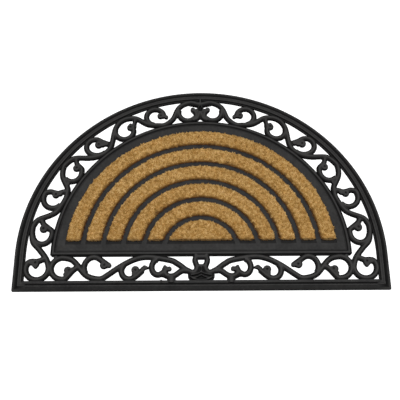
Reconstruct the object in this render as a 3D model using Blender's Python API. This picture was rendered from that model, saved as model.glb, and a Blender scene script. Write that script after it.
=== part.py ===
"""Half-round doormat: a moulded rubber base with an openwork scroll border, and six coir inserts.

Sizes are in millimetres and are turned into metres where a mesh is made. Places on the mat are
(across, up): across from the middle line, up from the straight front edge. The left half of the
scroll border is given, and the right half mirrors it.
"""

import math
from collections import namedtuple

import bmesh
import bpy

MM = 0.001
SHARP_ANGLE = math.radians(40)

# The whole mat
WIDTH = 750.0
DEPTH = 450.0
ARCH_RADIUS = WIDTH / 2
ARCH_CENTRE = DEPTH - ARCH_RADIUS
ARCH_STEPS = 48

# Every piece of the base starts below the ground, at slightly different depths, and is cut level at 0
BOTTOM = -1.0
UNDERSIDE_STEP = 0.02
GROUND_CUTTER = 10.0

# Mouldings, as (distance in from the edge, height)
FRAME_MOULDING = (
    (0.0, 3.6),
    (1.2, 4.8),
    (6.4, 5.2),
    (8.0, 7.8),
    (10.0, 9.4),
    (12.2, 8.2),
    (14.4, 6.0),
    (16.0, 7.8),
    (18.0, 8.4),
    (20.2, 7.4),
    (21.5, 5.4),
)
FRONT_BAND_SHARE = 0.95
PANEL_MOULDING = (
    (0.0, 5.6),
    (1.8, 7.4),
    (4.0, 8.0),
    (6.6, 6.8),
    (9.0, 4.6),
    (11.0, 5.4),
)
PANEL_RADIUS = 303.0
PANEL_FRONT = 72.6
PANEL_STEPS = 40

# Coir inserts
COIR_CENTRE = 76.4
COIR_FRONT = 103.2
COIR_PITCH = 40.75
COIR_WIDTH = 30.6
COIR_DISC_RADIUS = 71.5
COIR_ARCHES = 5
COIR_TOP = 11.0
COIR_ROUNDING = 2.0
COIR_STEP_LENGTH = 20.0
LEAST_OUTER_STEPS = 12
LEAST_INNER_STEPS = 8
POCKET_DEPTH = 1.6
POCKET_CUTTER_RISE = 1.0
SEAT_GAP = 0.3

# Scroll bars and their buds
BAR_HALF_WIDTH = 5.1
BAR_SECTION = ((1.0, BOTTOM), (0.88, 6.4), (0.0, 8.8), (-0.88, 6.4), (-1.0, BOTTOM))
SMOOTH_STEPS = 8
CURL_STEP = 20.0
LEAST_CURL_STEPS = 4
MOST_TURN = math.radians(30)
MOST_STEP = 18.0
LEAST_STEP = 3.0
BUD_SIDES = 8
BUD_SECTION = ((1.0, BOTTOM), (0.88, 6.2), (0.5, 8.4))
TIP_RADIUS = 5.0

Curl = namedtuple("Curl", "name centre half_width half_height start turn tail buds")
Vine = namedtuple("Vine", "name line end_curl")

CURLS = (
    Curl("corner", (-327.8, 46.4), 22.8, 22.2, 12, -232,
         ((-338, 62.6), (-330, 62), (-322, 64.4), (-314, 68)),
         ((-339.5, 60.2, 6.8), (-331.5, 55.9, 8), (-330.5, 52.4, 4.5))),
    Curl("beside corner", (-277.2, 47.2), 22.8, 22.2, 90, 195,
         ((-264, 33.6), (-256.5, 42.6), (-250.8, 47.4), (-245.5, 49.5)),
         ((-266, 43, 7.8), (-258, 43.4, 5.2), (-270, 34, 4.5), (-291.5, 69.5, 4))),
    Curl("front outer", (-215, 49.2), 19.2, 21.4, 215, -150,
         ((-197, 61.4), (-184, 51.9)), ((-194.5, 53.3, 8.2), (-184.5, 52.6, 5.2))),
    Curl("front middle", (-143.5, 41.4), 15.8, 16.6, 135, 155,
         ((-131, 29.8), (-120, 39.6), (-110.8, 46.3)),
         ((-131.5, 43, 8.2), (-134, 35, 4.5), (-122, 41.2, 5.2), (-110.8, 46.3, TIP_RADIUS))),
    Curl("front inner", (-87.2, 49.2), 13.0, 15.7, 95, 225,
         ((-74, 43.9), (-73.3, 47.8)),
         ((-63, 45.8, 5.2), (-67.5, 44.6, 5.4), (-68.5, 38.5, 5), (-73.2, 48, 4.6))),
    Curl("side lower", (-322.9, 120.9), 19.9, 22.0, 190, 185,
         ((-312.5, 134), (-321.5, 141.8), (-326, 149.5)), ((-320.8, 131.2, 8.4), (-321, 138, 5.5))),
    Curl("side upper", (-306.2, 198.6), 20.5, 21.2, 320, -180,
         ((-313, 214.4), (-305, 212.2), (-296.5, 210.6), (-288, 213.4), (-281, 214.4)),
         ((-301.5, 206.8, 7.6), (-293, 209.6, 6.2))),
    Curl("arch first", (-270.3, 259.4), 19.7, 22.0, 225, 155,
         ((-262.2, 277.9), (-264, 286.9)), ((-262, 267.3, 7.6), (-277.5, 231, 4))),
    Curl("arch second", (-220.8, 317.8), 23.0, 19.5, 320, -200,
         ((-221.5, 335.6), (-211.5, 330.4), (-202, 326.6), (-196, 324.4)),
         ((-218, 322.6, 8.2), (-209.5, 322.4, 5.5), (-201.5, 324.4, 5.6))),
    Curl("arch third", (-163.9, 355.4), 19.9, 19.2, 170, 210,
         ((-143.5, 369.9), (-143, 380.9)), ((-151.2, 363.8, 7.4), (-151, 369, 4))),
    Curl("arch fourth", (-97.9, 389.9), 19.1, 18.8, 262, -232,
         ((-78.4, 393.9), (-73.5, 388.4)), ((-86.5, 392, 7.2), (-79.5, 389.6, 5), (-73.3, 387.9, 5))),
    Curl("arch top", (-27.0, 399.1), 19.8, 20.0, 165, 150,
         ((-8.8, 387.8), (-7, 395.8), (-9.2, 402.2), (-15.5, 405.3)),
         ((-15.5, 405, TIP_RADIUS), (-8.2, 403, 4.2), (-9.2, 418.8, 5), (-10, 381.4, 4.4))),
)
VINES = (
    Vine("front vine", (
        (-14, 34), (-28, 40.4), (-49, 57), (-62, 63.4), (-104, 70.2), (-131, 66.4), (-158, 53),
        (-186, 33.4), (-197, 26.4), (-206, 25.2), (-222.4, 29), (-234.4, 37.5), (-252, 59),
        (-263, 66.8)), "beside corner"),
    Vine("arch vine", (
        (0, 421.4), (-22, 423.8), (-33, 421.2), (-44, 414.4), (-50.6, 403.3), (-58.5, 383.6),
        (-77, 370.4), (-105, 368.4), (-117, 371.4), (-137, 385), (-150, 387), (-164, 384),
        (-175, 376.4), (-182, 365.4), (-185.5, 353), (-189.5, 326), (-194, 313.4), (-203, 303.4),
        (-217, 295.6), (-234, 292), (-263, 292), (-274, 287.6), (-283.6, 279), (-289.6, 269),
        (-290, 248.4), (-278.2, 222.2), (-278.2, 210), (-280.3, 198.6), (-290.8, 177.8),
        (-299.5, 167.4), (-311, 161), (-332, 152.6), (-340, 143.4), (-343.8, 131), (-341, 105),
        (-317.2, 73.8), (-309.8, 63)), "corner"),
)
FOOT_HALF_WIDTH = 9.2
POST_HALF_WIDTH = 6.0
STEM_HALF_WIDTH = 5.0
FOOT = ((-60, 30), (-60, 16))
UNDER_ARC = ((-84, 32.6), (-75, 32), (-58, 30.2), (-36, 43))
POST = ((-11.8, 75), (-12.8, 65), (-12.6, 59), (-9.4, 53), (-8, 46), (-12, 40), (-20, 37))
TOP_STEM = ((0, 385), (0, 405), (0, 420), (0, 431))
URN = ((0, 18), (20.5, 18), (23.5, 23), (26, 27), (26, 31), (24, 37), (16, 42), (8, 53), (0, 54))
URN_BOTTOM = 2 * BOTTOM
URN_RIM = 3.0
URN_HEIGHTS = (5.8, 7.4)
RUNG = ((-11, 70), (11, 70))

# Finishes, with colours as linear red, green and blue
RUBBER_COLOUR = (0.026, 0.024, 0.022, 1.0)
RUBBER_ROUGHNESS = 0.55
COIR_COLOUR = (0.34, 0.19, 0.062, 1.0)
COIR_ROUGHNESS = 0.95


def clear_scene():
    for obj in list(bpy.data.objects):
        bpy.data.objects.remove(obj)


def material(name, colour, roughness):
    made = bpy.data.materials.new(name)
    made.use_nodes = True
    shader = made.node_tree.nodes["Principled BSDF"]
    shader.inputs["Base Color"].default_value = colour
    shader.inputs["Roughness"].default_value = roughness
    shader.inputs["Metallic"].default_value = 0.0
    return made


def mesh_object(name, points, faces):
    """An object from points in millimetres on the mat, which it stands on the origin in metres."""
    mesh = bpy.data.meshes.new(name)
    placed = [(x * MM, (y - DEPTH / 2) * MM, z * MM) for x, y, z in points]
    mesh.from_pydata(placed, [], faces)
    mesh.update()
    work = bmesh.new()
    work.from_mesh(mesh)
    bmesh.ops.recalc_face_normals(work, faces=work.faces)
    work.to_mesh(mesh)
    work.free()
    mesh.shade_smooth()
    mesh.set_sharp_from_angle(angle=SHARP_ANGLE)
    obj = bpy.data.objects.new(name, mesh)
    bpy.context.scene.collection.objects.link(obj)
    return obj


def loft(name, loops, closed):
    """Joins like loops of points. A closed loft comes back to its first loop, and an open one is capped."""
    size = len(loops[0])
    points = [point for loop in loops for point in loop]
    faces = []
    spans = len(loops) if closed else len(loops) - 1
    for i in range(spans):
        a = i * size
        b = (i + 1) % len(loops) * size
        for k in range(size):
            m = (k + 1) % size
            faces.append((a + k, a + m, b + m, b + k))
    if not closed:
        faces.append(tuple(range(size)))
        faces.append(tuple(range((len(loops) - 1) * size, len(loops) * size)))
    return mesh_object(name, points, faces)


def arc_points(centre, half_width, half_height, start, turn, steps):
    """Points on an ellipse, from the start angle through the turn, in degrees."""
    angles = [math.radians(start + turn * i / steps) for i in range(steps + 1)]
    return [(centre[0] + half_width * math.cos(a), centre[1] + half_height * math.sin(a)) for a in angles]


def frame_loop(inset):
    """The mat's outline, moved in: an arch, then two square corners on the straight edge."""
    radius = ARCH_RADIUS - inset
    front = inset * FRONT_BAND_SHARE
    arch = arc_points((0, ARCH_CENTRE), radius, radius, 0, 180, ARCH_STEPS)
    return arch + [(-radius, front), (radius, front)]


def segment_loop(radius, centre, front, steps):
    """A half-disc whose straight edge lies at the given distance from the front."""
    low = math.degrees(math.asin((front - centre) / radius))
    return arc_points((0, centre), radius, radius, low, 180 - 2 * low, steps)


def at_height(loop, height):
    return [(x, y, height) for x, y in loop]


def make_frame():
    rows = [(0.0, BOTTOM), *FRAME_MOULDING, (FRAME_MOULDING[-1][0], BOTTOM)]
    return loft("frame", [at_height(frame_loop(inset), height) for inset, height in rows], True)


def make_panel():
    rows = [(0.0, BOTTOM), *PANEL_MOULDING]
    loops = []
    for inset, height in rows:
        loop = segment_loop(PANEL_RADIUS - inset, ARCH_CENTRE, PANEL_FRONT + inset, PANEL_STEPS)
        loops.append(at_height(loop, height))
    return loft("panel", loops, False)


def smooth_line(points):
    """Points on a smooth line through the given ones, closer together where it turns."""
    first = tuple(2 * points[0][i] - points[1][i] for i in (0, 1))
    last = tuple(2 * points[-1][i] - points[-2][i] for i in (0, 1))
    through = [first, *points, last]
    fine = []
    for a, b, c, d in zip(through, through[1:], through[2:], through[3:]):
        for k in range(SMOOTH_STEPS):
            t = k / SMOOTH_STEPS
            fine.append(tuple(
                0.5 * (2 * b[i] + (c[i] - a[i]) * t + (2 * a[i] - 5 * b[i] + 4 * c[i] - d[i]) * t ** 2
                       + (3 * b[i] - a[i] - 3 * c[i] + d[i]) * t ** 3)
                for i in (0, 1)))
    kept = [fine[0]]
    turned = 0.0
    for before, here, after in zip(fine, fine[1:], fine[2:]):
        turn = math.atan2(after[1] - here[1], after[0] - here[0])
        turn -= math.atan2(here[1] - before[1], here[0] - before[0])
        turned += abs(math.remainder(turn, math.tau))
        gone = math.dist(kept[-1], here)
        if gone > MOST_STEP or (turned > MOST_TURN and gone > LEAST_STEP):
            kept.append(here)
            turned = 0.0
    if math.dist(kept[-1], points[-1]) < LEAST_STEP and len(kept) > 1:
        kept.pop()
    return [*kept, points[-1]]


def sweep_bar(name, line, half_width, lower):
    """A ridged bar along a line. Lower takes its underside down, clear of the other bars' undersides."""
    loops = []
    for i, (x, y) in enumerate(line):
        before = line[max(i - 1, 0)]
        after = line[min(i + 1, len(line) - 1)]
        length = math.dist(before, after)
        side = (-(after[1] - before[1]) / length, (after[0] - before[0]) / length)
        loop = []
        for share, height in BAR_SECTION:
            reach = share * half_width
            drop = lower if height < 0 else 0.0
            loop.append((x + side[0] * reach, y + side[1] * reach, height - drop))
        loops.append(loop)
    return loft(name, loops, False)


def make_bud(name, x, y, radius, lower):
    """A low round boss: the end of a curl."""
    loops = []
    for share, height in BUD_SECTION:
        reach = share * radius
        drop = lower if height < 0 else 0.0
        ring = arc_points((x, y), reach, reach, 0, 360, BUD_SIDES)[:-1]
        loops.append(at_height(ring, height - drop))
    return loft(name, loops, False)


def make_urn():
    """The boss at the middle of the front border, its lip set in all round."""
    right = list(URN[1:-1])
    outline = [URN[0], *right, URN[-1], *[(-x, y) for x, y in reversed(right)]]
    middle = sum(y for _, y in outline) / len(outline)
    loops = [at_height(outline, URN_BOTTOM)]
    loops.append(at_height(outline, URN_HEIGHTS[0]))
    inner = []
    for x, y in outline:
        reach = math.hypot(x, y - middle)
        share = 1 - URN_RIM / reach
        inner.append((x * share, middle + (y - middle) * share))
    loops.append(at_height(inner, URN_HEIGHTS[1]))
    return loft("urn", loops, False)


def mirrored(line):
    return [(-x, y) for x, y in line]


def make_scrolls():
    """Every bar and bud of the border, on both sides of the middle line."""
    lines = []
    buds = []
    for curl in CURLS:
        steps = max(LEAST_CURL_STEPS, round(abs(curl.turn) / CURL_STEP))
        ring = arc_points(curl.centre, curl.half_width, curl.half_height, curl.start, curl.turn, steps)
        route = [*ring, *curl.tail]
        for vine in VINES:
            if vine.end_curl == curl.name:
                route = [*vine.line, *route]
        lines.append((curl.name, smooth_line(route), BAR_HALF_WIDTH))
        for i, (x, y, radius) in enumerate(curl.buds):
            buds.append((f"{curl.name} bud {i}", x, y, radius))
    lines.append(("foot", list(FOOT), FOOT_HALF_WIDTH))
    lines.append(("under arc", smooth_line(UNDER_ARC), BAR_HALF_WIDTH))
    lines.append(("post", smooth_line(POST), POST_HALF_WIDTH))
    lines += [(name + " right", mirrored(line), half_width) for name, line, half_width in lines]
    buds += [(name + " right", -x, y, radius) for name, x, y, radius in buds]
    lines.append(("top stem", list(TOP_STEM), STEM_HALF_WIDTH))
    lines.append(("rung", list(RUNG), STEM_HALF_WIDTH))
    made = []
    for name, line, half_width in lines:
        made.append(sweep_bar(name, line, half_width, UNDERSIDE_STEP * len(made)))
    for name, x, y, radius in buds:
        made.append(make_bud(name, x, y, radius, UNDERSIDE_STEP * len(made)))
    return [*made, make_urn()]


def boolean(obj, operation, others):
    """Joins or cuts with other objects, which stay as guides that no render shows."""
    guides = bpy.data.collections.new(f"{operation.lower()} guides")
    guides.hide_render = True
    bpy.context.scene.collection.children.link(guides)
    for other in others:
        bpy.context.scene.collection.objects.unlink(other)
        guides.objects.link(other)
        other.hide_render = True
        other.display_type = "WIRE"
    step = obj.modifiers.new(operation.lower(), "BOOLEAN")
    step.operation = operation
    step.solver = "EXACT"
    step.use_self = operation == "UNION"
    step.operand_type = "COLLECTION"
    step.collection = guides


def coir_outline(index, grow):
    """An insert's outline, grown all round: 0 is the half-disc, then the arches from the inside out."""
    outer = COIR_DISC_RADIUS + COIR_PITCH * index
    inner = outer - COIR_WIDTH
    front = COIR_FRONT - grow
    steps = max(LEAST_OUTER_STEPS, round(math.pi * outer / COIR_STEP_LENGTH))
    outline = segment_loop(outer + grow, COIR_CENTRE, front, steps)
    if index > 0:
        steps = max(LEAST_INNER_STEPS, round(math.pi * inner / COIR_STEP_LENGTH))
        outline += reversed(segment_loop(inner - grow, COIR_CENTRE, front, steps))
    return outline


def coir_block(name, index, grow, rows):
    """A stack of the insert's outline, one loop for each (set in, height)."""
    return loft(name, [at_height(coir_outline(index, grow - inset), height) for inset, height in rows], False)


def make_base(finish):
    base = make_frame()
    base.name = "rubber_base"
    boolean(base, "UNION", [make_panel(), *make_scrolls()])
    corners = [(-WIDTH, -DEPTH), (WIDTH, -DEPTH), (WIDTH, 2 * DEPTH), (-WIDTH, 2 * DEPTH)]
    ground = loft("ground", [at_height(corners, -GROUND_CUTTER), at_height(corners, 0.0)], False)
    plate = PANEL_MOULDING[-1][1]
    pockets = []
    for index in range(COIR_ARCHES + 1):
        rows = [(0.0, plate - POCKET_DEPTH), (0.0, plate + POCKET_CUTTER_RISE)]
        pockets.append(coir_block(f"pocket {index}", index, SEAT_GAP, rows))
    boolean(base, "DIFFERENCE", [ground, *pockets])
    base.data.materials.append(finish)
    return base


def make_coir(finish):
    seat = PANEL_MOULDING[-1][1] - POCKET_DEPTH + SEAT_GAP
    rows = [(0.0, seat), (0.0, COIR_TOP - COIR_ROUNDING), (COIR_ROUNDING, COIR_TOP)]
    for index in range(COIR_ARCHES + 1):
        name = "coir_half_disc" if index == 0 else f"coir_arch_{index}"
        piece = coir_block(name, index, 0.0, rows)
        piece.data.materials.append(finish)


def main():
    clear_scene()
    make_base(material("rubber", RUBBER_COLOUR, RUBBER_ROUGHNESS))
    make_coir(material("coir", COIR_COLOUR, COIR_ROUGHNESS))


main()
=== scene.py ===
"""Half-round coir doormat: the looks of its moulded rubber base and of its six coir inserts."""
import math
from collections import namedtuple
from contextlib import contextmanager

import bmesh
import bpy
import numpy as np
from mathutils import Matrix, Vector


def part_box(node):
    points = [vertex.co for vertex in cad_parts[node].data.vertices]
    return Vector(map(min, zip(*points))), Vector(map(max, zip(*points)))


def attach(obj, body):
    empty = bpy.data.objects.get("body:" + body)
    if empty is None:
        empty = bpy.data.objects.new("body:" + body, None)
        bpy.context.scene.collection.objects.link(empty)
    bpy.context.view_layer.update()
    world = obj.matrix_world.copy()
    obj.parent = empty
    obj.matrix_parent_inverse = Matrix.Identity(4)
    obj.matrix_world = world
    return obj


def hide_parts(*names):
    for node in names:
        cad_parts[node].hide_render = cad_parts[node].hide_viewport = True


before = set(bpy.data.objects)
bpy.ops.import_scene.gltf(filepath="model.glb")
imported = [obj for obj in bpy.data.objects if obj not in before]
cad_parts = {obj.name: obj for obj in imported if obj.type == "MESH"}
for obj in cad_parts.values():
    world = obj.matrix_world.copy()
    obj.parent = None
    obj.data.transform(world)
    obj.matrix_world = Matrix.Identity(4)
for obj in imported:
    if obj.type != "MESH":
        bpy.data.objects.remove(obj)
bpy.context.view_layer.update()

MM = 0.001
TINY = MM / 10
SHARP_ANGLE = math.radians(35)

# The base, from its solid. FRONT is the straight edge, and the panel's arch has the same centre as the base's
base_low, base_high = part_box("rubber_base")
FRONT = base_low.y
ARCH_RADIUS = (base_high.x - base_low.x) / 2
ARCH_CENTRE = base_high.y - ARCH_RADIUS
ROUND_SIDES = 384

# Mouldings, as (distance in from the edge, height) in millimetres. The front band has its own, row for row
FRAME_MOULDING = (
    (0.0, 3.6), (1.2, 4.8), (2.4, 5.2), (4.0, 4.8), (5.4, 3.8), (6.6, 2.9), (8.6, 2.8), (10.0, 5.2),
    (11.5, 7.9), (12.8, 8.3), (14.4, 7.2), (16.0, 8.6), (17.7, 9.1), (19.0, 8.1), (20.2, 5.6), (22.3, 3.8),
)
FRONT_MOULDING = (
    (0.0, 3.0), (1.1, 3.4), (2.3, 3.6), (3.8, 3.7), (5.2, 3.8), (6.6, 4.3), (7.9, 5.2), (9.2, 6.4),
    (10.4, 6.8), (11.6, 6.7), (12.4, 4.8), (13.1, 3.2), (14.6, 3.1), (15.7, 5.1), (18.0, 5.7), (20.8, 6.3),
)
FRONT_BAND_SHARE = 0.97
FRONT_BAND_DEPTH = 25 * MM
MITRE_LENGTH = 27 * MM
PANEL_MOULDING = (
    (0.0, 2.8), (1.8, 3.4), (2.6, 4.2), (3.5, 7.0), (4.9, 8.2), (6.7, 8.6), (8.1, 7.8), (9.5, 5.6),
    (10.6, 4.2), (11.7, 4.4), (13.4, 5.4),
)
PANEL_RADIUS = 304.1 * MM
PANEL_FRONT = FRONT + 71.4 * MM
PANEL_STRAIGHT = 14 * MM
MOULDING_SOFTNESS = 0.6 * MM
MOULDING_CREASE = math.radians(12)
SOFT_STEPS = 3

# How much of the front corners is cut off, in from the widest point
FRAME_CORNER = 1.8 * MM
PANEL_CORNER = 4.5 * MM

# The pockets: eased all round an insert, with a ledge in front of it
POCKET_FLOOR = 3.8 * MM
POCKET_EASE = 0.3 * MM
POCKET_LEDGE = 6.2 * MM

# Coir inserts, from the inside out: the half-disc, then the arches
COIR_NODES = ("coir_half_disc", "coir_arch_1", "coir_arch_2", "coir_arch_3", "coir_arch_4", "coir_arch_5")
COIR_CENTRE = FRONT + 76.4 * MM
COIR_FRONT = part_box(COIR_NODES[0])[0].y
COIR_WIDTH = 30.6 * MM
PILE_TOP = 11.2 * MM

# The half-disc is spun as a strip too, from a radius that its straight front cuts away
DISC_INNER = 20 * MM

# The bed that the bristles stand in
BED_TOP = 9.0 * MM
BED_ROUNDING = 4.0 * MM
BED_SETBACK = 3.0 * MM
BED_STEP = 2.0 * MM
BED_ROUGHNESS = 0.5 * MM
LEAST_SPIN_STEPS = 12

# The bristles of the pile. Near an edge their roots stand at a height of their own, edge_root
Bristle = namedtuple("Bristle", "pitch jitter radius tip_share thickness bury edge_root lean uneven headroom")
BRISTLE = Bristle(pitch=1.0 * MM, jitter=0.48, radius=0.5 * MM, tip_share=0.85, thickness=(0.7, 1.3),
                  bury=3.4 * MM, edge_root=4.6 * MM, lean=math.radians(10), uneven=0.38 * MM,
                  headroom=0.7 * MM)
EDGE_ROOT_NEARNESS = 0.3
MOST_LEAN = 0.9
TIP_REACH = 0.8
TONE_SPREAD = (2.2, 2.0)
FIRST_SEED = 100

# A bristle has three corners about its root, then three about its tip. BRISTLE_RISE is how far up each is
BRISTLE_SIDES = 3
BRISTLE_RISE = (0, 0, 0, 1, 1, 1)
BRISTLE_FACES = (
    (0, 2, 1), (3, 4, 5), (0, 1, 4), (0, 4, 3), (1, 2, 5), (1, 5, 4), (2, 0, 3), (2, 3, 5),
)

# How far across bristles agree in their height, in their lean and in their painted edge shade, and how far
# across an edge's coarse and fine raggedness is
CLUMP_WAVES = 14
CLUMP_SPREAD = (0.7, 1.6)
TUFT_SIZE = 5 * MM
LEAN_SIZE = 7 * MM
EDGE_SHADE_PATCH_SIZE = 10 * MM
COARSE_SIZE = 13 * MM
FINE_SIZE = 5 * MM

# The lean that neighbours share, as a part of BRISTLE.lean, how much of the random lean goes at a rim, and an
# edge's fine raggedness as a part of the coarse
SHARED_LEAN = 0.6
RIM_ORDER = 0.6
FINE_SHARE = 0.5

# The pile's edges: how wide the rounding is, its drop, how far it leans out, how deep the painted brown shade
# goes and how strong it is, and the bare rim. The painted shade comes in patches. The two front corners of a
# strip are rounded
Edge = namedtuple("Edge", "width drop lean worn wear rim")
HOLLOW_EDGE = Edge(width=5.0 * MM, drop=2.6 * MM, lean=math.radians(34), worn=4.3 * MM, wear=1.0, rim=0.0)
ROUND_EDGE = Edge(width=4.0 * MM, drop=2.0 * MM, lean=0.0, worn=3.0 * MM, wear=0.3, rim=1.5 * MM)
FRONT_EDGE = Edge(width=4.5 * MM, drop=2.6 * MM, lean=math.radians(4), worn=4.8 * MM, wear=0.54, rim=0.0)
FRONT_CORNER = 5.5 * MM
RAGGEDNESS = 0.75 * MM
PATCHY_EDGE_SHADE = 0.3
EDGE_SHADE_SLOPE = 1.9
EDGE_SHADE_SPREAD = (0.7, 1.2)

# Scroll bars and their buds, in millimetres. BAR_SECTION is (share of the half width, height). A smooth line
# has LINE_STEPS pieces from one given point to the next, and a curl has such a point every CURL_STEP degrees
BAR_HALF_WIDTH = 5.4
BAR_SECTION = (
    (1.14, 0.0), (1.12, 2.4), (1.02, 4.0), (0.84, 5.6), (0.6, 7.2), (0.36, 8.6), (0.14, 9.1), (-0.14, 9.1),
    (-0.36, 8.6), (-0.6, 7.2), (-0.84, 5.6), (-1.02, 4.0), (-1.12, 2.4), (-1.14, 0.0),
)
BAR_HEIGHT = max(height for _, height in BAR_SECTION)
LINE_STEPS = 6
CURL_STEP = 18.0
BUD_HEIGHT = 8.3
BUD_SIDES = 24
BUD_ROUNDING = 0.45
BUD_STEPS = 4
WEB_HEIGHT = 3.2

# How the border is fused: in small cubes, then smoothed and thinned
FUSE_VOXEL = 0.8 * MM
FUSE_SMOOTHING = 4
FUSE_KEEP = 0.29

# A curl is an oval turn, in degrees from its start, then its tail. Its buds are (x, y, radius). Places are in
# millimetres, across from the middle and up from the front edge
Curl = namedtuple("Curl", "name centre half_width half_height start turn tail buds")
Vine = namedtuple("Vine", "name line end_curl")

CURLS = (
    Curl("corner", (-327.8, 46.4), 22.8, 22.2, 12, -232,
         ((-338, 62.6), (-330, 62), (-322, 64.4), (-314, 68)),
         ((-339.5, 60.2, 6.4), (-331.5, 56.3, 7.6), (-331.2, 51.0, 4.2))),
    Curl("beside corner", (-277.2, 47.2), 22.8, 22.2, 90, 195,
         ((-264, 33.6), (-256.5, 42.6), (-250.8, 47.4), (-245.5, 49.5)),
         ((-266, 43, 7.8), (-258, 43.4, 5.2), (-270, 34, 4.5), (-291.5, 69.5, 4))),
    Curl("front outer", (-215, 49.2), 19.2, 21.4, 215, -150,
         ((-197, 61.4), (-184, 51.9)), ((-194.5, 53.3, 8.2), (-184.5, 52.6, 5.2))),
    Curl("front middle", (-143.5, 41.4), 15.8, 16.6, 135, 155,
         ((-131, 29.8), (-123.5, 36.2), (-117, 42.4)),
         ((-131.5, 43, 8.2), (-134, 35, 4.5), (-117, 44, 4.8), (-113.2, 47.6, 4.6), (-109.6, 47.2, 3.4))),
    Curl("front inner", (-86.4, 49.0), 12.6, 15.9, 95, 205,
         ((-75.4, 38.8), (-72, 43.4), (-72.6, 48)),
         ((-63.6, 44.6, 4.8), (-68.4, 44.6, 4.6), (-72.6, 48.6, 3.6))),
    Curl("side lower", (-322.9, 120.9), 19.9, 22.0, 190, 185,
         ((-312.5, 134), (-321.5, 141.8), (-326, 149.5)), ((-320.8, 131.2, 8.4), (-321, 138, 5.5))),
    Curl("side upper", (-306.2, 198.6), 20.5, 21.2, 320, -180,
         ((-313, 214.4), (-305, 212.2), (-296.5, 210.6), (-288, 213.4), (-281, 214.4)),
         ((-301.5, 206.8, 7.6), (-293, 209.6, 6.2))),
    Curl("arch first", (-270.3, 259.4), 19.7, 22.0, 225, 155,
         ((-259.6, 274.4), (-261.4, 277.4)), ((-262, 267.3, 7.6), (-277.5, 231, 4))),
    Curl("arch second", (-220.8, 317.8), 23.0, 19.5, 320, -200,
         ((-221.5, 335.6), (-211.5, 330.4), (-202, 326.6), (-196, 324.4)),
         ((-218, 322.6, 8.2), (-209.5, 322.4, 5.5), (-201.5, 324.4, 5.6))),
    Curl("arch third", (-163.9, 355.4), 19.9, 19.2, 170, 210,
         ((-144.2, 366.4), (-144.2, 369.4)), ((-151.2, 363.8, 7.4), (-151, 369, 4))),
    Curl("arch fourth", (-97.9, 389.9), 19.1, 18.8, 262, -232,
         ((-80.8, 395.6), (-78, 392.2)), ((-86.5, 392, 7.0), (-80.4, 390.6, 4.4), (-73.8, 388.6, 4.2))),
    Curl("arch top", (-27.2, 400.9), 19.8, 20.0, 165, 150,
         ((-9.4, 387.4), (-8.4, 394.6), (-10.6, 401), (-15.2, 405.6)),
         ((-16, 406.2, 5.4), (-8.4, 403.4, 4.8))),
)
VINES = (
    Vine("front vine", (
        (-24, 40.2), (-32, 44.4), (-41, 51.6), (-49, 57), (-62, 63.4), (-104, 70.2), (-131, 66.4), (-158, 53),
        (-186, 33.4), (-197, 26.4), (-206, 25.2), (-222.4, 29), (-234.4, 37.5), (-252, 59),
        (-263, 66.8)), "beside corner"),
    Vine("arch vine", (
        (0, 420.6), (-6.5, 421.2), (-19, 424.8), (-31, 422.8), (-43, 415.8), (-50.6, 405.3), (-59, 385.2),
        (-76, 370.6), (-92, 369.4), (-105, 370), (-117, 373.2), (-137, 385.4), (-150, 387), (-164, 384),
        (-175, 376.4), (-182, 365.4), (-185.5, 353), (-189.5, 326), (-194, 313.4), (-203, 303.4),
        (-217, 295.6), (-234, 292), (-263, 292), (-274, 287.6), (-283.6, 279), (-289.6, 269),
        (-290, 248.4), (-278.2, 222.2), (-278.2, 210), (-280.3, 198.6), (-290.8, 177.8),
        (-299.5, 167.4), (-311, 161), (-332, 152.6), (-340, 143.4), (-343.8, 131), (-341, 105),
        (-328, 89.2), (-315.8, 74.2), (-309.2, 63)), "corner"),
)

# The plain bars of the left half and of the middle, as (name, line, half width, height)
Bar = namedtuple("Bar", "name line half_width height")
LEFT_BARS = (
    Bar("foot", ((-59.4, 32), (-59.4, 16)), 7.6, 8.8),
    Bar("under arc", ((-71, 43.5), (-72.2, 38.6), (-71, 34.4), (-66.5, 31), (-61, 30), (-55, 31), (-49, 34.2),
                      (-42.4, 39.2), (-36, 41.6), (-28, 41)), BAR_HALF_WIDTH, 8.8),
    Bar("third neck", ((-145, 367), (-142.6, 374.4), (-142, 382)), 4.3, 8.8),
    Bar("first neck", ((-260.4, 274), (-263, 281), (-263.8, 288)), 4.8, 8.8),
    Bar("leaf tip", ((-111, 47), (-105.8, 47.2)), 1.9, 8.2),
    Bar("heel web", ((-88, 33), (-76, 32.6), (-67, 28.5)), 4.2, 4.4),
    Bar("post", ((-11, 76), (-11.2, 69.4), (-12.4, 63.1), (-11.2, 57.9), (-8.9, 51.4), (-8.6, 46),
                 (-11.6, 40.2), (-16.6, 37.8), (-24.2, 40)), 5.2, 8.8),
    Bar("crown strand", ((-16, 381), (-8.6, 384), (-4.6, 388.4), (-2.8, 395), (-1, 402)), 4.6, 8.8),
    Bar("crown leaf", ((0, 419.6), (-2.4, 414.6), (-5, 408.6), (-4.4, 402)), 1.9, 8.4),
    Bar("crown side web", ((-24, 421), (-12, 418.4), (0, 415.6)), 3.2, WEB_HEIGHT),
    Bar("urn wing", ((0, 39.6), (-4.6, 35.4), (-11.7, 33.1), (-21.4, 31.6)), 2.1, 8.6),
    Bar("urn lid", ((0, 31.8), (-6.3, 28.5), (-14.6, 25.9), (-22.4, 27.6)), 2.0, 8.6),
    Bar("urn lip", ((-21, 26.8), (-15.3, 23.6), (-8.1, 22), (0, 21.6)), 2.0, 8.2),
)
MIDDLE_BARS = (
    Bar("top stem", ((0, 417), (0, 435.5)), 3.7, 9.2),
    Bar("crown web", ((0, 384), (0, 420)), 6.4, WEB_HEIGHT),
    Bar("upper rung", ((-11, 70.5), (11, 70.5)), 5.6, 8.8),
    Bar("lower rung", ((-10, 50.9), (10, 50.9)), 3.7, 8.4),
    Bar("urn stem", ((0, 48), (0, 36)), 1.8, 8.2),
)
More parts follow.
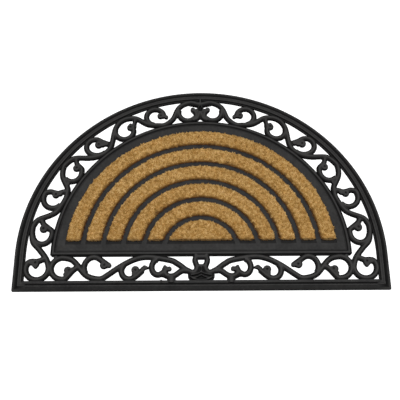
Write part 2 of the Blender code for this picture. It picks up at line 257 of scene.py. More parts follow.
URN = ((0, 17), (20.6, 17), (23.6, 21.5), (26.6, 27), (27, 32), (25.8, 37), (15, 41), (9, 50), (0, 50))
NIB = (-79.8, 19.4, 2.8)

# Pits in the leaf heads, as (x, y). Only what stands over PIT_LEVEL is pressed down
PITS = (
    (-331.5, 58.3), (-263.5, 43.2), (-193.5, 53), (-131, 42.6), (-320.8, 131.4), (-301, 206.6),
    (-261.6, 267.4), (-217.6, 322.4), (-151, 364), (-86, 391.8),
)
PIT_RADIUS = 1.7
PIT_DEPTH = 3.4
PIT_LEVEL = 5.0

# Patterns in the rubber, in the pile and in its bed: how far across the lumps are, how many finer layers they
# have, and how strong those are
Pattern = namedtuple("Pattern", "size detail roughness")
RUBBER_CLOUDS = Pattern(26 * MM, 5, 0.62)
RUBBER_SCUFFS = Pattern(14 * MM, 6, 0.7)
RUBBER_MOTTLE = Pattern(5 * MM, 3, 0.55)
RUBBER_DENTS = Pattern(3.5 * MM, 3, 0.55)
RUBBER_GRAIN = Pattern(0.7 * MM, 2, 0.55)
PILE_DRIFTS = Pattern(60 * MM, 2, 0.55)
PILE_PATCHES = Pattern(16 * MM, 3, 0.6)
PILE_WARMTH = Pattern(9 * MM, 2, 0.55)
PILE_SPECKS = Pattern(6 * MM, 2, 0.5)
# Painted shade: spots where the pile's colour goes dark for pits between its tufts
PILE_PIT_SHADE = Pattern(4.6 * MM, 1, 0.5)
BED_MOTTLE = Pattern(6 * MM, 2, 0.55)
BED_FIBRES = Pattern(1.1 * MM, 4, 0.7)

# Dents, grain and fibres are only drawn on the surface. Levels are the heights between which a look comes on
DENT_DEPTH = 0.12 * MM
GRAIN_DEPTH = 0.05 * MM
FIBRE_SPACING = 0.8 * MM
FIBRE_DEPTH = 0.5 * MM
RIDGE_LEVELS = (6.4 * MM, 9.0 * MM)
FOOT_LEVELS = (2.6 * MM, 5.2 * MM)
BED_LEVELS = (5.0 * MM, 9.5 * MM)

# Colours, as linear red, green and blue. Tones run from the darkest to the palest
RUBBER_TONES = ((0.0, (0.0165, 0.0162, 0.0162)), (1.0, (0.0325, 0.032, 0.0315)))
# Painted highlight: a paler grey laid on the rubber's ridges in place of the light they catch
PAINTED_RIDGE_HIGHLIGHT = (0.042, 0.041, 0.040, 1)
DUSTY = (0.040, 0.031, 0.022, 1)
# Painted shade: near black, laid on the rubber's steep flanks and low parts
PAINTED_SHADE_BLACK = (0.0012, 0.0012, 0.0012, 1)
COIR_TONES = (
    (0.0, (0.055, 0.02, 0.005)), (0.2, (0.20, 0.104, 0.025)), (0.45, (0.425, 0.26, 0.08)),
    (0.7, (0.58, 0.395, 0.155)), (1.0, (0.78, 0.62, 0.34)),
)
# Painted shade: the bristles darken towards their roots, deep in the pile
PAINTED_ROOT_SHADE = (0.34, 0.2, 0.1, 1)
WARM_TAN = (1.0, 0.84, 0.62, 1)
# Painted shade: brown laid on the bristles near the pile's edges, where the pile rounds down
PAINTED_EDGE_SHADE = (0.12, 0.052, 0.026, 1)
BED_BROWN = (0.38, 0.25, 0.15, 1)

# The camera, fitted to the photograph's outline
IMAGE_SIDE = 400
SENSOR = 36.0
FOCAL_PIXELS = 720.66
VIEW_AZIMUTH = math.radians(-0.214)
VIEW_ELEVATION = math.radians(67.326)
VIEW_ROLL = math.radians(-0.119)
VIEW_DISTANCE = 1.49837
LOOK_AT = Vector((-0.00169, -0.03006, 0.0))

# The studio. The lights are aimed at the middle of the mat
FLOOR_SIZE = 30
FLOOR_DROP = 0.3 * MM
FLOOR_GREY = (0.4, 0.4, 0.4, 1)
FLOOR_GLOW = 0.8
WORLD_LIGHT = 0.3
WHITE = (1, 1, 1, 1)
Softbox = namedtuple("Softbox", "name place size power")
LIGHTS = (
    Softbox("overhead", (0.1, -0.25, 1.8), (2.0, 1.1), 49),
    Softbox("front", (0.0, -1.7, 1.9), (1.6, 0.8), 9),
)


class Number:
    """A shader socket that adds a Math node for each sum that is written with it."""

    def __init__(self, finish, socket):
        self.finish = finish
        self.socket = socket

    def __add__(self, other):
        return self.finish.maths("ADD", self, other)

    def __radd__(self, other):
        return self.finish.maths("ADD", other, self)

    def __sub__(self, other):
        return self.finish.maths("SUBTRACT", self, other)

    def __rsub__(self, other):
        return self.finish.maths("SUBTRACT", other, self)

    def __mul__(self, other):
        return self.finish.maths("MULTIPLY", self, other)

    def __rmul__(self, other):
        return self.finish.maths("MULTIPLY", other, self)


class Finish:
    """A node-based material, built up around its Principled BSDF."""

    def __init__(self, name, **constants):
        self.material = bpy.data.materials.new(name)
        self.material.use_nodes = True
        self.tree = self.material.node_tree
        self.shader = self.tree.nodes["Principled BSDF"]
        self.places = self.node("ShaderNodeTexCoord").outputs["Object"]
        for socket, value in constants.items():
            self.shader.inputs[socket.replace("_", " ")].default_value = value

    def join(self, value, socket):
        """Links a socket, or sets a plain value."""
        if isinstance(value, Number):
            value = value.socket
        if isinstance(value, bpy.types.NodeSocket):
            self.tree.links.new(value, socket)
        else:
            socket.default_value = value

    def node(self, kind, settings=None, sockets=None):
        """Adds a node. Its settings are set first, then the values or links of its sockets."""
        made = self.tree.nodes.new(kind)
        for name, value in (settings or {}).items():
            if name == "stops":
                ramp = made.color_ramp.elements
                while len(ramp) < len(value):
                    ramp.new(1.0)
                for stop, (place, colour) in zip(ramp, value):
                    stop.position = place
                    stop.color = (*colour, 1.0)
            else:
                setattr(made, name, value)
        for key, value in (sockets or {}).items():
            self.join(value, made.inputs[key])
        return made

    def maths(self, operation, first, second):
        made = self.node("ShaderNodeMath", {"operation": operation}, {0: first, 1: second})
        return Number(self, made.outputs[0])

    def clamped(self, value, low, high):
        """Takes a value from low to high to 0 to 1, and no further."""
        made = self.node("ShaderNodeMapRange", {"clamp": True}, {0: value, 1: low, 2: high})
        return Number(self, made.outputs[0])

    def noise(self, pattern):
        """Soft noise, from 0 to 1."""
        made = self.node("ShaderNodeTexNoise", {}, {
            "Vector": self.places, "Scale": 1 / pattern.size, "Detail": pattern.detail,
            "Roughness": pattern.roughness})
        return Number(self, made.outputs["Fac"])

    def grains(self, spacing):
        """Distance to the nearest of many points."""
        made = self.node("ShaderNodeTexVoronoi", {}, {"Vector": self.places, "Scale": 1 / spacing})
        return Number(self, made.outputs["Distance"])

    def attribute(self, name):
        """A number that the mesh holds at each of its points."""
        return Number(self, self.node("ShaderNodeAttribute", {"attribute_name": name}).outputs["Fac"])

    def height(self):
        """How high the surface is, in metres."""
        split = self.node("ShaderNodeSeparateXYZ", {}, {0: self.places})
        return Number(self, split.outputs["Z"])

    def upward(self):
        """1 where the surface faces up, and 0 where it stands upright."""
        faces = self.node("ShaderNodeNewGeometry").outputs["Normal"]
        split = self.node("ShaderNodeSeparateXYZ", {}, {0: faces})
        return Number(self, split.outputs["Z"])

    def ramp(self, value, stops):
        return self.node("ShaderNodeValToRGB", {"stops": stops}, {0: value}).outputs["Color"]

    def blend(self, kind, amount, first, second):
        made = self.node("ShaderNodeMix", {"data_type": "RGBA", "blend_type": kind, "clamp_factor": True})
        for socket, value in ((0, amount), (6, first), (7, second)):
            self.join(value, made.inputs[socket])
        return made.outputs[2]

    def bump(self, value, depth, strength=1.0, below=None):
        sockets = {"Height": value, "Distance": depth, "Strength": strength}
        if below is not None:
            sockets["Normal"] = below
        return self.node("ShaderNodeBump", {}, sockets).outputs["Normal"]

    def set(self, name, value):
        self.join(value, self.shader.inputs[name])


def rubber_finish():
    """Charcoal rubber, dusty in places, with a painted highlight that makes its ridges pale, and painted
    shade that makes its flanks and low parts near black.
    """
    rubber = Finish("moulded rubber", Specular_IOR_Level=0.02)
    scuffs = rubber.clamped(rubber.noise(RUBBER_SCUFFS), 0.56, 0.74)
    # Painted highlight: the ridges go paler in colour, by height
    ridge = rubber.clamped(rubber.height(), *RIDGE_LEVELS)
    tone = rubber.clamped(rubber.noise(RUBBER_CLOUDS) * 0.6 + rubber.noise(RUBBER_MOTTLE) * 0.4, 0.3, 0.7)
    # Painted shade: the low parts and the steep flanks go near black in colour
    foot = 1 - rubber.clamped(rubber.height(), *FOOT_LEVELS)
    steep = 1 - rubber.clamped(rubber.upward(), 0.45, 0.94)
    colour = rubber.ramp(tone, RUBBER_TONES)
    for amount, shade in ((ridge * 0.4, PAINTED_RIDGE_HIGHLIGHT), (scuffs * 0.2, DUSTY), (steep * 0.96, PAINTED_SHADE_BLACK),
                          (foot * 0.92, PAINTED_SHADE_BLACK)):
        colour = rubber.blend("MIX", amount, colour, shade)
    rubber.set("Base Color", colour)
    rubber.set("Roughness", 0.6 - ridge * 0.14 + scuffs * 0.1 + tone * 0.06 + steep * 0.3)
    dents = rubber.bump(rubber.noise(RUBBER_DENTS), DENT_DEPTH)
    rubber.set("Normal", rubber.bump(rubber.noise(RUBBER_GRAIN), GRAIN_DEPTH, 0.8, dents))
    return rubber.material


def bristle_finish():
    """Single coir fibres, each of its own tan, with painted shade that darkens them towards the root and
    painted brown shade near the pile's edges.
    """
    coir = Finish("coir bristle", Roughness=0.85, Specular_IOR_Level=0.2)
    specks = coir.clamped(coir.noise(PILE_SPECKS), 0.36, 0.64)
    patches = coir.clamped(coir.noise(PILE_PATCHES), 0.32, 0.68)
    drifts = coir.clamped(coir.noise(PILE_DRIFTS), 0.35, 0.65)
    # Painted shade: dark spots in the pile's colour for the pits between its tufts
    pits = coir.clamped(coir.noise(PILE_PIT_SHADE), 0.64, 0.76)
    tone = coir.attribute("tone") * 0.28 + specks * 0.36 + patches * 0.15 + drifts * 0.06 - pits * 0.42 + 0.09
    warm = coir.clamped(coir.noise(PILE_WARMTH), 0.48, 0.7)
    colour = coir.ramp(tone, COIR_TONES)
    # Painted shade deep in the pile, towards each bristle's root
    for amount, shade in (((1 - coir.attribute("rise")) * 0.7, PAINTED_ROOT_SHADE), (warm * 0.6, WARM_TAN),
                          # Painted shade near the pile's edges, in brown
                          (coir.attribute("wear"), PAINTED_EDGE_SHADE)):
        colour = coir.blend("MULTIPLY", amount, colour, shade)
    coir.set("Base Color", colour)
    return coir.material


def bed_finish():
    """The thick of the pile, seen between the bristles: shaded brown."""
    coir = Finish("coir bed", Roughness=0.95, Specular_IOR_Level=0.1)
    tone = coir.noise(BED_FIBRES) * 0.55 + coir.noise(BED_MOTTLE) * 0.15
    upper = coir.clamped(coir.height(), *BED_LEVELS)
    coir.set("Base Color", coir.blend("MULTIPLY", 1 - upper * 0.5, coir.ramp(tone, COIR_TONES), BED_BROWN))
    coir.set("Normal", coir.bump(coir.grains(FIBRE_SPACING), FIBRE_DEPTH))
    return coir.material


def only(*objs):
    """Selects these objects and nothing else, and makes the first the active one."""
    bpy.ops.object.select_all(action="DESELECT")
    for obj in objs:
        obj.select_set(True)
    bpy.context.view_layer.objects.active = objs[0]


@contextmanager
def editing(obj):
    """Edit mode, with everything selected at its start."""
    only(obj)
    bpy.ops.object.mode_set(mode="EDIT")
    bpy.ops.mesh.select_mode(type="FACE")
    bpy.ops.mesh.select_all(action="SELECT")
    yield
    bpy.ops.object.mode_set(mode="OBJECT")


def pick(kind, test):
    """In edit mode, selects the vertices, edges or faces that pass the test, and nothing else."""
    bpy.ops.mesh.select_mode(type=kind)
    bpy.ops.mesh.select_all(action="DESELECT")
    mesh = bpy.context.edit_object.data
    shape = bmesh.from_edit_mesh(mesh)
    for part in {"VERT": shape.verts, "EDGE": shape.edges, "FACE": shape.faces}[kind]:
        if test(part):
            part.select_set(True)
    shape.select_flush_mode()
    bmesh.update_edit_mesh(mesh)


def push(x, y, z):
    """In edit mode, extrudes what is selected."""
    bpy.ops.mesh.extrude_region_move(TRANSFORM_OT_translate={"value": (x, y, z)})


def slice_through(place, normal, **options):
    """In edit mode, cuts the whole shape along a plane. Options say which side goes and what is filled."""
    bpy.ops.mesh.select_all(action="SELECT")
    bpy.ops.mesh.bisect(plane_co=place, plane_no=normal, **options)


def face_out():
    """In edit mode, turns every face outwards."""
    bpy.ops.mesh.select_all(action="SELECT")
    bpy.ops.mesh.normals_make_consistent(inside=False)


def modify(obj, kind, **settings):
    """Adds a modifier and applies it."""
    only(obj)
    bpy.ops.object.modifier_add(type=kind)
    step = obj.modifiers[-1]
    for name, value in settings.items():
        setattr(step, name, value)
    bpy.ops.object.modifier_apply(modifier=step.name)


def new_object(name, data):
    obj = bpy.data.objects.new(name, data)
    bpy.context.scene.collection.objects.link(obj)
    return obj


def named(name):
    """Names the active object and its mesh."""
    obj = bpy.context.view_layer.objects.active
    obj.name = name
    obj.data.name = name
    return obj


def joined(name, objs):
    only(*objs)
    bpy.ops.object.join()
    return named(name)


def settle(obj):
    """Puts the object's place into its mesh, so that the object itself sits at the origin."""
    only(obj)
    bpy.ops.object.transform_apply(location=True, rotation=True, scale=True)
    return obj


def dress(obj, finish):
    """The last steps of every piece: its finish, and the body that it rides on."""
    settle(obj)
    obj.data.materials.clear()
    obj.data.materials.append(finish)
    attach(obj, "root")
    return obj


def flat_round(name, radius, centre, front):
    """A flat round face on the ground, cut straight across at the front."""
    bpy.ops.mesh.primitive_circle_add(vertices=ROUND_SIDES, radius=radius, fill_type="NGON",
                                      location=(0, centre, 0))
    obj = settle(named(name))
    with editing(obj):
        slice_through((0, front, 0), (0, 1, 0), clear_inner=True)
    return obj


def mould(rows):
    """In edit mode, takes the selected face up and in through the rows of a moulding."""
    last_inset, last_height = rows[0]
    push(0, 0, last_height * MM)
    for inset, height in rows[1:]:
        bpy.ops.mesh.inset(thickness=(inset - last_inset) * MM)
        bpy.ops.transform.translate(value=(0, 0, (height - last_height) * MM))
        last_inset, last_height = inset, height


def trim_corners(half_width, front, size):
    """In edit mode, cuts both front corners off at an angle."""
    for side in (-1, 1):
        slice_through((side * (half_width - size), front, 0), (side, -1, 0), clear_outer=True, use_fill=True)


def soften(obj):
    """Rounds the edges of a moulding a little."""
    modify(obj, "BEVEL", width=MOULDING_SOFTNESS, segments=SOFT_STEPS, limit_method="ANGLE",
           angle_limit=MOULDING_CREASE)


def dress_moulding(obj, finish):
    """The last steps of a rubber piece whose sharp edges stay sharp."""
    only(obj)
    bpy.ops.object.shade_smooth_by_angle(angle=SHARP_ANGLE)
    return dress(obj, finish)


def fit_front_band(reach):
    """In edit mode, moves the rows of the front band, out to the mitres, to its own moulding."""
    for (inset, height), (front_inset, front_height) in zip(FRAME_MOULDING, FRONT_MOULDING):
        row = inset * FRONT_BAND_SHARE * MM
        pick("VERT", lambda v: abs(v.co.y - FRONT - row) < TINY and abs(v.co.x) < reach + MM and v.co.z > MM)
        bpy.ops.transform.translate(value=(0, front_inset * MM - row, (front_height - height) * MM))


def make_frame(finish):
    """The outer band: a half-round plate, moulded inwards, with its middle taken out."""
    obj = flat_round("rubber_frame", ARCH_RADIUS, ARCH_CENTRE, ARCH_CENTRE)
    with editing(obj):
        pick("EDGE", lambda e: all(abs(v.co.y - ARCH_CENTRE) < TINY for v in e.verts))
        push(0, FRONT - ARCH_CENTRE, 0)
        bpy.ops.mesh.select_all(action="SELECT")
        bpy.ops.mesh.dissolve_faces()
        mould(FRAME_MOULDING)
        push(0, 0, -FRAME_MOULDING[-1][1] * MM)
        bpy.ops.mesh.delete(type="ONLY_FACE")
        pick("FACE", lambda f: f.calc_center_median().z < TINY)
        bpy.ops.mesh.delete(type="ONLY_FACE")
        pick("EDGE", lambda e: e.is_boundary)
        bpy.ops.mesh.bridge_edge_loops()
        pick("VERT", lambda v: v.co.y < FRONT + FRONT_BAND_DEPTH)
        bpy.ops.transform.resize(value=(1, FRONT_BAND_SHARE, 1), center_override=(0, FRONT, 0))
        trim_corners(ARCH_RADIUS, FRONT, FRAME_CORNER)
        reach = ARCH_RADIUS - MITRE_LENGTH
        for side in (-1, 1):
            slice_through((side * reach, 0, 0), (1, 0, 0))
        fit_front_band(reach)
        face_out()
    soften(obj)
    return dress_moulding(obj, finish)


def pocket_cutter(index, inner, outer):
    """What is cut from the panel for an insert: its outline, eased all round, with a ledge at the front."""
    return spun_strip(f"pocket cutter {index}", inner - POCKET_EASE, outer + POCKET_EASE, POCKET_FLOOR,
                      2 * PILE_TOP, COIR_FRONT - POCKET_LEDGE)


def make_panel(finish, radii):
    """The half-round plate inside the border, with its bead and a shallow pocket for each insert."""
    obj = flat_round("rubber_panel", PANEL_RADIUS, ARCH_CENTRE, PANEL_FRONT)
    with editing(obj):
        pick("VERT", lambda v: TINY < v.co.y - PANEL_FRONT < PANEL_STRAIGHT)
        bpy.ops.mesh.dissolve_verts()
        bpy.ops.mesh.select_mode(type="FACE")
        bpy.ops.mesh.select_all(action="SELECT")
        mould(PANEL_MOULDING)
        trim_corners(PANEL_RADIUS, PANEL_FRONT, PANEL_CORNER)
        face_out()
    soften(obj)
    for index, (inner, outer) in enumerate(radii):
        cutter = pocket_cutter(index, inner, outer)
        modify(obj, "BOOLEAN", object=cutter, operation="DIFFERENCE", solver="EXACT")
        bpy.data.objects.remove(cutter)
    return dress_moulding(obj, finish)


def on_mat(x, y, z=0.0):
    """A place on the mat, in metres, from millimetres across and up from the front edge."""
    return (x * MM, FRONT + y * MM, z * MM)


def smooth_line(points):
    """Points close together on a smooth line through the given ones."""
    first = tuple(2 * points[0][i] - points[1][i] for i in (0, 1))
    last = tuple(2 * points[-1][i] - points[-2][i] for i in (0, 1))
    through = [first, *points, last]
    fine = []
    for a, b, c, d in zip(through, through[1:], through[2:], through[3:]):
        for k in range(LINE_STEPS):
            t = k / LINE_STEPS
            fine.append(tuple(
                0.5 * (2 * b[i] + (c[i] - a[i]) * t + (2 * a[i] - 5 * b[i] + 4 * c[i] - d[i]) * t ** 2
                       + (3 * b[i] - a[i] - 3 * c[i] + d[i]) * t ** 3)
                for i in (0, 1)))
    return [*fine, points[-1]]


def curve_object(name, points, closed):
    """A line of straight pieces, from places in metres."""
    data = bpy.data.curves.new(name, "CURVE")
    data.dimensions = "2D"
    spline = data.splines.new("POLY")
    spline.points.add(len(points) - 1)
    for point, (x, y, z) in zip(spline.points, points):
        point.co = (x, y, z, 1.0)
    spline.use_cyclic_u = closed
    return new_object(name, data)


def make_bar(name, line, half_width, height=BAR_HEIGHT):
    """A bar of the border: the section swept along a line, made a mesh."""
    tallness = height / BAR_HEIGHT
    section = [(share * half_width * MM, level * tallness * MM, 0.0) for share, level in BAR_SECTION]
    profile = curve_object(name + " section", section, True)
    bar = curve_object(name, [on_mat(x, y) for x, y in line], False)
    bar.data.fill_mode = "NONE"
    bar.data.bevel_mode = "OBJECT"
    bar.data.bevel_object = profile
    bar.data.use_fill_caps = True
    only(bar)
    bpy.ops.object.convert(target="MESH")
    bpy.data.objects.remove(profile)
    with editing(bar):
        bpy.ops.mesh.remove_doubles(threshold=TINY / 10)
        face_out()
    return bar


def make_bud(x, y, radius):
    """A domed round boss, where a curl ends."""
    bpy.ops.mesh.primitive_cylinder_add(vertices=BUD_SIDES, radius=radius * MM, depth=BUD_HEIGHT * MM,
                                        location=on_mat(x, y, BUD_HEIGHT / 2))
    obj = settle(named("bud"))
    with editing(obj):
        pick("EDGE", lambda e: all(v.co.z > BUD_HEIGHT * MM / 2 for v in e.verts))
        bpy.ops.mesh.bevel(offset=radius * MM * BUD_ROUNDING, segments=BUD_STEPS)
    return obj


def make_urn():
    """The low plate of the urn at the middle of the front border, under its ridges."""
    right = list(URN[1:-1])
    outline = [URN[0], *right, URN[-1], *[(-x, y) for x, y in reversed(right)]]
    bpy.ops.mesh.primitive_circle_add(vertices=len(outline), radius=1, fill_type="NGON")
    obj = named("urn")
    for vertex, (x, y) in zip(obj.data.vertices, outline):
        vertex.co = on_mat(x, y)
    with editing(obj):
        push(0, 0, WEB_HEIGHT * MM)
        face_out()
    return obj


def curl_route(curl):
    """A curl's own turn, its tail, and the vine that leads into it, if there is one."""
    steps = round(abs(curl.turn) / CURL_STEP)
    angles = [math.radians(curl.start + curl.turn * i / steps) for i in range(steps + 1)]
    ring = [(curl.centre[0] + curl.half_width * math.cos(a), curl.centre[1] + curl.half_height * math.sin(a))
            for a in angles]
    for vine in VINES:
        if vine.end_curl == curl.name:
            return [*vine.line, *ring, *curl.tail]
    return [*ring, *curl.tail]


def mirrored_copy(obj):
    """A copy across the middle line, turned the right way out again."""
    only(obj)
    bpy.ops.object.duplicate()
    copy = bpy.context.view_layer.objects.active
    copy.scale.x = -1
    settle(copy)
    with editing(copy):
        face_out()
    return copy


def press_pits(obj):
    """Presses the small pits into the leaf heads of both halves."""
    places = np.zeros(len(obj.data.vertices) * 3)
    obj.data.vertices.foreach_get("co", places)
    places = places.reshape(-1, 3)
    inside = np.zeros(len(places), bool)
    for x, y in PITS:
        for side in (-1, 1):
            gap = places[:, :2] - np.array(on_mat(side * x, y)[:2])
            inside |= np.hypot(*gap.T) < PIT_RADIUS * MM
    inside &= places[:, 2] > PIT_LEVEL * MM
    chosen = set(np.flatnonzero(inside).tolist())
    with editing(obj):
        pick("VERT", lambda v: v.index in chosen)
        bpy.ops.transform.translate(value=(0, 0, -PIT_DEPTH * MM))


def make_scrolls(finish):
    """The openwork border: every bar and bud of the left half, mirrored, then fused as one casting."""
    made = []
    for curl in CURLS:
        made.append(make_bar(curl.name, smooth_line(curl_route(curl)), BAR_HALF_WIDTH))
        made += [make_bud(x, y, radius) for x, y, radius in curl.buds]
    made += [make_bar(bar.name, smooth_line(bar.line), bar.half_width, bar.height) for bar in LEFT_BARS]
    left = joined("left half", made)
    right = mirrored_copy(left)
    middle = [make_bar(bar.name, bar.line, bar.half_width, bar.height) for bar in MIDDLE_BARS]
    obj = joined("rubber_scrolls", [left, right, *middle, make_urn(), make_bud(*NIB)])
    modify(obj, "REMESH", mode="VOXEL", voxel_size=FUSE_VOXEL)
    press_pits(obj)
    modify(obj, "SMOOTH", factor=0.5, iterations=FUSE_SMOOTHING)
    modify(obj, "DECIMATE", ratio=FUSE_KEEP)
    only(obj)
    bpy.ops.object.shade_smooth()
    return dress(obj, finish)


def spun_strip(name, inner, outer, low, high, front, across=1, rounding=0):
    """A strip of an arch: an upright section spun half round the centre, then cut straight at the front."""
    middle = (low + high) / 2
    bpy.ops.mesh.primitive_plane_add(size=1, location=((inner + outer) / 2, COIR_CENTRE, middle),
                                     rotation=(math.pi / 2, 0, 0))
    obj = named(name)
    obj.scale = (outer - inner, high - low, 1)
    settle(obj)
    steps = max(LEAST_SPIN_STEPS, round(math.pi * outer / BED_STEP))
    with editing(obj):
        bpy.ops.mesh.delete(type="ONLY_FACE")
        if rounding:
            pick("VERT", lambda v: v.co.z > middle)
            bpy.ops.mesh.bevel(offset=rounding, segments=SOFT_STEPS, affect="VERTICES")
        if across > 1:
            pick("EDGE", lambda e: e.calc_length() > (outer - inner) / 2 and e.verts[0].co.z > middle)
            bpy.ops.mesh.subdivide(number_cuts=across - 1)
        bpy.ops.mesh.select_all(action="SELECT")
        bpy.ops.mesh.spin(steps=steps, angle=-math.pi, center=(0, COIR_CENTRE, 0), axis=(0, 0, 1))
        slice_through((0, front, 0), (0, 1, 0), clear_inner=True, use_fill=True)
        face_out()
    return obj


def clumps(places, size, rng):
    """A smooth random lean over the pile, as (x, y) of about 1, so that neighbours lean alike."""
    lean = np.zeros_like(places)
    for _ in range(CLUMP_WAVES):
        heading = rng.uniform(0, math.tau)
        along = places @ np.array((math.cos(heading), math.sin(heading)))
        wave = along * math.tau / (size * rng.uniform(*CLUMP_SPREAD))
        shift = rng.uniform(0, math.tau, 2)
        lean += np.stack([np.sin(wave + shift[0]), np.sin(wave + shift[1])], axis=1)
    return lean / math.sqrt(CLUMP_WAVES / 2)


def coir_places(inner, outer, rng):
    """Where an insert's bristles stand, and for each edge how far off it is and which way it faces."""
    pitch = BRISTLE.pitch
    reach = np.arange(-outer, outer, pitch)
    x, y = np.meshgrid(reach, reach[reach > 0])
    places = np.stack([x.ravel(), y.ravel()], axis=1)
    places += rng.uniform(-BRISTLE.jitter, BRISTLE.jitter, places.shape) * pitch
    radius = np.hypot(*places.T)
    gaps = np.stack([radius - inner, outer - radius, places[:, 1] - (COIR_FRONT - COIR_CENTRE)], axis=1)
    ragged = clumps(places, COARSE_SIZE, rng) + clumps(places, FINE_SIZE, rng) * FINE_SHARE
    gaps[:, :2] += ragged * RAGGEDNESS
    past = gaps - (HOLLOW_EDGE.rim, ROUND_EDGE.rim, FRONT_EDGE.rim)
    kept = (past > 0).all(axis=1)
    for side in (0, 1):
        kept &= np.hypot(*np.maximum(FRONT_CORNER - past[:, (side, 2)], 0).T) < FRONT_CORNER
    places, radius, gaps = places[kept], radius[kept], gaps[kept]
    outward = places / radius[:, None]
    edges = [(ROUND_EDGE, gaps[:, 1], outward), (FRONT_EDGE, gaps[:, 2], np.array((0.0, -1.0)))]
    if inner > DISC_INNER:
        edges.append((HOLLOW_EDGE, gaps[:, 0], -outward))
    return places, edges


def edge_effects(edges, patchy, rng):
    """What the edges do to each bristle: its drop, its lean, its painted shade, and how near to a rim it
    stands.
    """
    count = len(patchy)
    drop, wear, rim = np.zeros((3, count))
    splay = np.zeros((count, 2))
    for edge, gap, facing in edges:
        near = np.clip(1 - gap / edge.width, 0, 1)
        drop += edge.drop * (1 - np.sqrt(1 - near ** 2))
        splay += facing * (near * edge.lean)[:, None]
        # Painted shade: the nearer a bristle stands to an edge, the browner it is painted
        worn = edge.worn * (1 + patchy * PATCHY_EDGE_SHADE)
        brown = np.clip((worn - gap) / worn * EDGE_SHADE_SLOPE, 0, 1) * rng.uniform(*EDGE_SHADE_SPREAD, count)
        wear = np.maximum(wear, np.clip(brown * edge.wear, 0, 1))
        rim = np.maximum(rim, near)
    return drop, splay, wear, rim


def bristle_points(roots, tips, rng):
    """The corners of every bristle: a ring about its root, then one about its tip."""
    count = len(roots)
    turn = rng.uniform(0, math.tau, count)
    rings = []
    for centres, share in ((roots, 1.0), (tips, BRISTLE.tip_share)):
        for corner in range(BRISTLE_SIDES):
            angle = turn + corner * math.tau / BRISTLE_SIDES
            thick = BRISTLE.radius * share * rng.uniform(*BRISTLE.thickness, count)
            side = np.column_stack([np.cos(angle) * thick, np.sin(angle) * thick, np.zeros(count)])
            rings.append(centres + side)
    return np.stack(rings, axis=1) + np.array((0.0, COIR_CENTRE, 0.0))


def bristle_mesh(name, points, values):
    """One mesh of all the bristles, which holds each of the values at every corner."""
    count, corners, _ = points.shape
    faces = (np.arange(count)[:, None, None] * corners + np.array(BRISTLE_FACES)).reshape(-1, 3)
    mesh = bpy.data.meshes.new(name)
    mesh.vertices.add(count * corners)
    mesh.vertices.foreach_set("co", points.ravel())
    mesh.loops.add(faces.size)
    mesh.loops.foreach_set("vertex_index", faces.ravel())
    mesh.polygons.add(len(faces))
    mesh.polygons.foreach_set("loop_start", np.arange(0, faces.size, 3))
    mesh.update(calc_edges=True)
    for attribute, value in values.items():
        spread = np.broadcast_to(value, (count, corners)).ravel().astype(np.float32)
        mesh.attributes.new(attribute, "FLOAT", "POINT").data.foreach_set("value", spread)
    return mesh


def make_bristles(name, inner, outer, finish, seed):
    """An insert's pile: thousands of three-sided fibres, cut off near one height and splayed at the edges."""
    rng = np.random.default_rng(seed)
    places, edges = coir_places(inner, outer, rng)
    count = len(places)
    top = PILE_TOP + rng.normal(0, BRISTLE.uneven, count)
    top += clumps(places, TUFT_SIZE, rng)[:, 0] * BRISTLE.uneven
    top = np.minimum(top, PILE_TOP + BRISTLE.headroom)
    lean = rng.normal(0, BRISTLE.lean, (count, 2))
    lean += clumps(places, LEAN_SIZE, rng) * BRISTLE.lean * SHARED_LEAN
    tone = rng.beta(*TONE_SPREAD, count)
    patchy = clumps(places, EDGE_SHADE_PATCH_SIZE, rng)[:, 0]
    drop, splay, wear, rim = edge_effects(edges, patchy, rng)
    top -= drop
    lean = lean * (1 - rim * RIM_ORDER)[:, None] + splay
    root = np.where(rim > EDGE_ROOT_NEARNESS, BRISTLE.edge_root, BED_TOP - BRISTLE.bury)
    reach = np.tan(np.clip(lean, -MOST_LEAN, MOST_LEAN)) * (top - root)[:, None] * TIP_REACH
    points = bristle_points(np.column_stack([places, root]), np.column_stack([places + reach, top]), rng)
    mesh = bristle_mesh(name, points, {"tone": tone[:, None], "wear": wear[:, None], "rise": BRISTLE_RISE})
    return dress(new_object(name, mesh), finish)


def coir_cut(inner, outer):
    """The flat size that an insert is cut to: an arch's strip along its middle, or the disc's own box."""
    reach = COIR_FRONT - COIR_CENTRE
    if inner > DISC_INNER:
        middle = (inner + outer) / 2
        return outer - inner, 2 * middle * math.acos(reach / middle)
    return 2 * math.sqrt(outer ** 2 - reach ** 2), outer - reach


def make_insert(index, node, inner, outer, bed, bristle):
    """One coir insert: the bed of its pile, and the bristles that stand in it."""
    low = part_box(node)[0].z
    across = max(2, round((outer - inner) / BED_STEP))
    body = spun_strip(node + "_bed", inner, outer, low, BED_TOP, COIR_FRONT + BED_SETBACK, across,
                      BED_ROUNDING)
    with editing(body):
        pick("VERT", lambda v: v.co.z > low + MM)
        bpy.ops.transform.vertex_random(offset=BED_ROUGHNESS, seed=index + 1)
    dress(body, bed)
    pile = make_bristles(node + "_pile", inner, outer, bristle, FIRST_SEED + index)
    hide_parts(node)
    coir_cut(inner, outer)


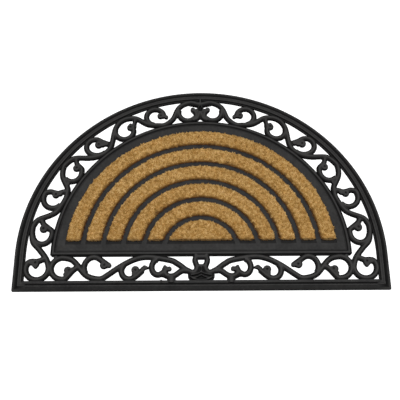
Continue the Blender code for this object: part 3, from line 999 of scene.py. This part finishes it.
def make_camera():
    """The photograph's camera. Its axes come from the angles that it was fitted with."""
    azimuth, elevation = VIEW_AZIMUTH, VIEW_ELEVATION
    back = Vector((math.sin(azimuth) * math.cos(elevation), -math.cos(azimuth) * math.cos(elevation),
                   math.sin(elevation)))
    across = Vector((math.cos(azimuth), math.sin(azimuth), 0))
    upward = back.cross(across)
    turned = across * math.cos(VIEW_ROLL) + upward * math.sin(VIEW_ROLL)
    upward = back.cross(turned)
    data = bpy.data.cameras.new("camera")
    data.sensor_width = SENSOR
    data.lens = FOCAL_PIXELS / IMAGE_SIDE * SENSOR
    obj = new_object("camera", data)
    obj.matrix_world = Matrix.Translation(LOOK_AT + back * VIEW_DISTANCE) @ Matrix(
        (turned, upward, back)).transposed().to_4x4()
    bpy.context.scene.camera = obj


def make_light(light):
    """A rectangular lamp, aimed at the middle of the mat."""
    data = bpy.data.lights.new(light.name, "AREA")
    data.shape = "RECTANGLE"
    data.size, data.size_y = light.size
    data.energy = light.power
    obj = new_object(light.name, data)
    obj.location = light.place
    obj.rotation_mode = "QUATERNION"
    obj.rotation_quaternion = (-Vector(light.place)).to_track_quat("-Z", "Y")


def make_studio():
    """A plain pale floor under soft light, bright enough for the floor to go white."""
    bpy.ops.mesh.primitive_plane_add(size=FLOOR_SIZE, location=(0, 0, -FLOOR_DROP))
    floor = settle(named("floor"))
    pale = Finish("pale floor", Base_Color=FLOOR_GREY, Roughness=0.9, Specular_IOR_Level=0.0,
                  Emission_Color=WHITE, Emission_Strength=FLOOR_GLOW)
    floor.data.materials.append(pale.material)
    world = bpy.data.worlds.new("studio")
    world.use_nodes = True
    background = world.node_tree.nodes["Background"].inputs
    background["Color"].default_value = WHITE
    background["Strength"].default_value = WORLD_LIGHT
    bpy.context.scene.world = world
    for light in LIGHTS:
        make_light(light)
    bpy.context.scene.view_settings.view_transform = "Standard"


def main():
    rubber = rubber_finish()
    bed = bed_finish()
    bristle = bristle_finish()
    radii = []
    for index, node in enumerate(COIR_NODES):
        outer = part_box(node)[1].y - COIR_CENTRE
        radii.append((DISC_INNER if index == 0 else outer - COIR_WIDTH, outer))
    panel = make_panel(rubber, radii)
    make_frame(rubber)
    make_scrolls(rubber)
    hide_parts("rubber_base")
    for index, (node, (inner, outer)) in enumerate(zip(COIR_NODES, radii)):
        make_insert(index, node, inner, outer, bed, bristle)
    make_camera()
    make_studio()


main()
